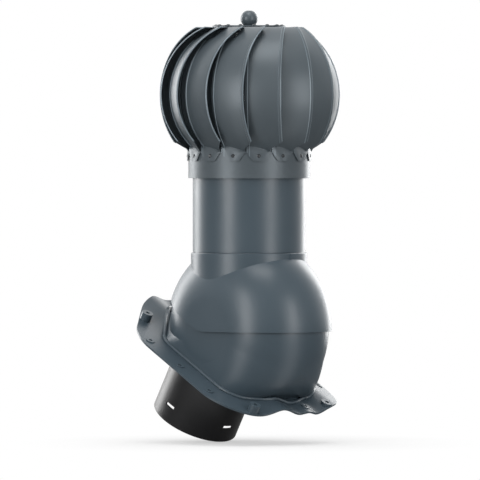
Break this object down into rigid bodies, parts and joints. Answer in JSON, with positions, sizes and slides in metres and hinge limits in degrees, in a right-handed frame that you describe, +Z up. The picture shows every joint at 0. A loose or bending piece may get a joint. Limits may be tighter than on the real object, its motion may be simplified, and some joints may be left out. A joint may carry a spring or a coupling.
{
  "type": "roof turbine ventilator",
  "caption": "Wind driven ball rotor on a neck whose hood tilts on a tile shaped roof flange, drawing air out through a duct below the roof.",
  "frame": {"origin": "centre of the lower duct's open end, where the room's duct joins", "axes": "+Z up along the neck and the rotor's axis, -Y down the roof's slope, X along the tilt axis"},
  "size_m": [0.2569, 0.311, 0.6124],
  "materials": {
    "hood_plastic": "satin graphite grey moulded plastic",
    "duct_plastic": "black extruded plastic, smooth",
    "seal_rubber": "soft black rubber",
    "seal_foam": "closed cell foam",
    "rotor_sheet": "satin graphite grey coating on sheet",
    "rivet_metal": "graphite grey coated rivets",
    "zinc_steel": "zinc plated steel",
    "bearing_steel": "ground steel"
  },
  "bodies": {
    "base": {"base_shell": "hood_plastic", "duct_seal": "seal_rubber", "flange_seal": "seal_foam", "duct_pipe": "duct_plastic"},
    "hood": {"hood_shell": "hood_plastic", "pivot_washers": "zinc_steel", "pivot_screws": "zinc_steel", "neck_pipe": "hood_plastic", "throat_bracket": "zinc_steel", "bracket_rivets": "rivet_metal", "shaft": "bearing_steel", "shaft_washer": "zinc_steel", "shaft_nut": "zinc_steel", "bearing_spacer": "bearing_steel", "lower_inner_race": "bearing_steel", "upper_inner_race": "bearing_steel", "shaft_circlip": "zinc_steel"},
    "rotor": {"lower_outer_race": "bearing_steel", "upper_outer_race": "bearing_steel", "base_ring": "rotor_sheet", "ring_rivets": "rivet_metal", "top_disc": "rotor_sheet", "under_disc": "zinc_steel", "disc_rivets": "rivet_metal", "top_knob": "rotor_sheet", "knob_nut": "zinc_steel", "bearing_housing": "zinc_steel", "housing_screws": "zinc_steel", "lower_spider": "zinc_steel", "blade_01": "rotor_sheet", "blade_02": "rotor_sheet", "blade_03": "rotor_sheet", "blade_04": "rotor_sheet", "blade_05": "rotor_sheet", "blade_06": "rotor_sheet", "blade_07": "rotor_sheet", "blade_08": "rotor_sheet", "blade_09": "rotor_sheet", "blade_10": "rotor_sheet", "blade_11": "rotor_sheet", "blade_12": "rotor_sheet", "blade_13": "rotor_sheet", "blade_14": "rotor_sheet", "blade_15": "rotor_sheet"}
  },
  "joints": [
    {"name": "hood_tilt", "type": "hinge", "parent": "base", "child": "hood", "pos_m": [0, -0.10893, 0.13167], "axis": [1, 0, 0], "range_deg": [-10, 15]},
    {"name": "rotor_spin", "type": "hinge", "parent": "hood", "child": "rotor", "pos_m": [0, -0.10893, 0.46168], "axis": [0, 0, 1], "continuous": true}
  ]
}
